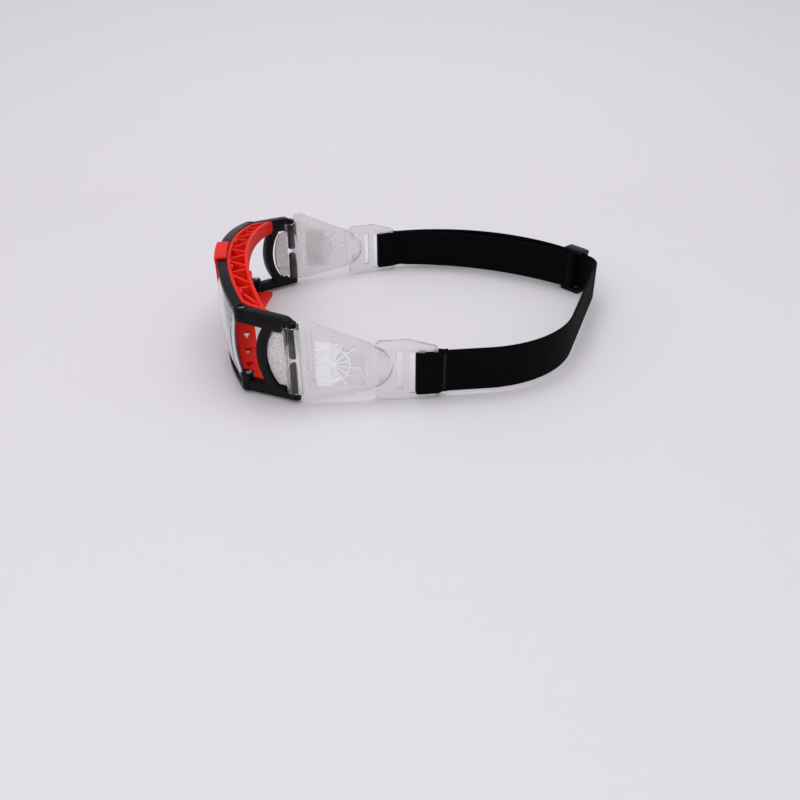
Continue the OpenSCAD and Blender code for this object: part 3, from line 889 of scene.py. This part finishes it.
class GOGGLES_OT_strap(BuildOperator, bpy.types.Operator):
    """Elastic strap: its folds, its run round the head, its return layer and its sewn end"""

    bl_idname = "goggles.strap"
    bl_label = "Strap"

    def execute(self, context):
        web = elastic_webbing()
        way = Route()

        def strip(name, path, begin, nodes):
            piece = webbing(name, path, begin)
            piece.data.materials.append(web)
            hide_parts(*nodes)
            return piece

        for side in ("left", "right"):
            fold = strip(
                "StrapFold" + side.title(),
                fold_path(side, way.thick),
                0,
                ["strap_fold_" + side],
            )
            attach(fold, side + "_connector")

        total = way.full
        slider_s = total - way.right_r * (way.start_a - way.slider_a)
        cuts = [0, JOINED, BENT, slider_s, total - DOUBLED, total - JOINED, total]
        parts = [
            ("StrapLeftJoin", "strap_left_run"),
            ("StrapLeftBend", "strap_left_run"),
            ("StrapBack", "strap_back_run"),
            ("StrapRightBack", "strap_right_run"),
            ("StrapRightBend", "strap_right_run"),
            ("StrapRightJoin", "strap_right_run"),
        ]
        made = {}
        for (name, node), start, end in zip(parts, cuts, cuts[1:]):
            path = stretch_of(way.main, start, end)
            made[name] = (strip(name, path, start, [node]), path)

        def across(name, a, b, flip=False):
            piece, path = made[name]
            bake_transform(piece)

        across("StrapLeftJoin", "left_connector", "left_temple")
        across("StrapLeftBend", "left_temple", "front")
        across("StrapRightJoin", "right_connector", "right_temple", True)
        across("StrapRightBend", "right_temple", "front", True)
        for name in ("StrapBack", "StrapRightBack"):
            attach(made[name][0], "front")

        layer = lengths(way.layer)[-1]
        cuts = [0, JOINED, DOUBLED, layer]
        bodies = ["right_connector", "right_temple", "front", "slider"]
        for i, name in enumerate(("ReturnJoin", "ReturnBend", "ReturnSlide")):
            path = stretch_of(way.layer, cuts[i], cuts[i + 1])
            made[name] = (strip(name, path, cuts[i], ["strap_return_layer"]), path)
            across(name, bodies[i], bodies[i + 1])

        side = math.radians(0.65 + 0.1)
        loop_out = way.bar_out + SNUG + way.thick / 2
        turn = side + way.thick / 2 / way.right_r
        corners = [
            way.layer[-1],
            way.right_c + way.loop_r * ray(way.glide_a - turn),
            way.right_c + loop_out * ray(way.glide_a - turn),
            way.right_c + loop_out * ray(way.glide_a + turn),
        ]
        loop = strip("StrapEndLoop", rounded(corners, 0.8 * MM), layer, ["strap_end_loop"])
        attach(loop, "slider")
        return {"FINISHED"}


class GOGGLES_OT_stitching(BuildOperator, bpy.types.Operator):
    """Bar tacks that close the folds of the strap, a zigzag of black thread"""

    bl_idname = "goggles.stitching"
    bl_label = "Stitching"

    def execute(self, context):
        sizes = context.scene.goggles_sizes
        thread = sewing_thread()
        radius, rise = 0.17 * MM, 0.7 * MM
        for side in ("left", "right"):
            face = connector_out() + OUTER_LEG + sizes.strap_thickness / 2
            at = beside(side, face, PLATE_HIGH.y + 3.1 * MM)
            along = beside(side, face, PLATE_HIGH.y + 4.1 * MM) - at
            heading = math.atan2(along.y, along.x)
            count = int((sizes.strap_width - 3 * MM) / rise)
            made = []
            for i in range(count):
                bpy.ops.object.select_all(action="DESELECT")
                if not made:
                    bpy.ops.mesh.primitive_cylinder_add(
                        vertices=8, radius=radius, depth=sizes.stitch_length, location=(0, 0, 0)
                    )
                    stitch = context.active_object
                    apply(stitch, "BEVEL", width=radius / 2, segments=2)
                    stitch.data.transform(Matrix.Rotation(math.pi / 2, 4, "Y"))
                    first = stitch.data.copy()
                else:
                    stitch = bpy.data.objects.new("Stitch", first.copy())
                    context.scene.collection.objects.link(stitch)
                lean = math.radians(24 if i % 2 else -24)
                z = STRAP_LOW + 1.5 * MM + (i + 0.5) * rise
                stitch.data.transform(
                    Matrix.Translation((at.x, at.y, z))
                    @ Matrix.Rotation(heading, 4, "Z")
                    @ Matrix.Rotation(lean, 4, "Y")
                )
                made.append(stitch)
            for stitch in made:
                stitch.select_set(True)
            context.view_layer.objects.active = made[0]
            bpy.ops.object.join()
            tack = context.active_object
            tack.name = "Stitching" + side.title()
            dress(tack, thread)
            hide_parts("stitching_" + side)
            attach(tack, side + "_connector")
        return {"FINISHED"}


class GOGGLES_OT_slider(BuildOperator, bpy.types.Operator):
    """Black slider that sets the strap's length"""

    bl_idname = "goggles.slider"
    bl_label = "Slider"

    def execute(self, context):
        moulded("slider", "Slider", 0.35 * MM, moulded_nylon(), "slider")
        return {"FINISHED"}


# ---- Panel and registration ----

OPERATORS = (
    GOGGLES_OT_stage,
    GOGGLES_OT_front,
    GOGGLES_OT_liner,
    GOGGLES_OT_lenses,
    GOGGLES_OT_screws,
    GOGGLES_OT_temples,
    GOGGLES_OT_connectors,
    GOGGLES_OT_strap,
    GOGGLES_OT_stitching,
    GOGGLES_OT_slider,
)


class GOGGLES_PT_panel(bpy.types.Panel):
    """Sizes, colours and build steps of the goggles"""

    bl_label = "Goggles"
    bl_idname = "GOGGLES_PT_panel"
    bl_space_type = "VIEW_3D"
    bl_region_type = "UI"
    bl_category = "Goggles"

    def draw(self, context):
        for group in (context.scene.goggles_sizes, context.scene.goggles_colours):
            box = self.layout.box()
            for name in group.__annotations__:
                box.prop(group, name)
        for operator in OPERATORS:
            self.layout.operator(operator.bl_idname)


CLASSES = (GogglesSizes, GogglesColours, *OPERATORS, GOGGLES_PT_panel)


def register():
    for cls in CLASSES:
        bpy.utils.register_class(cls)
    bpy.types.Scene.goggles_sizes = bpy.props.PointerProperty(type=GogglesSizes)
    bpy.types.Scene.goggles_colours = bpy.props.PointerProperty(type=GogglesColours)


def unregister():
    del bpy.types.Scene.goggles_colours
    del bpy.types.Scene.goggles_sizes
    for cls in reversed(CLASSES):
        bpy.utils.unregister_class(cls)


def main():
    register()
    for operator in OPERATORS:
        group, name = operator.bl_idname.split(".")
        getattr(getattr(bpy.ops, group), name)()


if __name__ == "__main__":
    main()
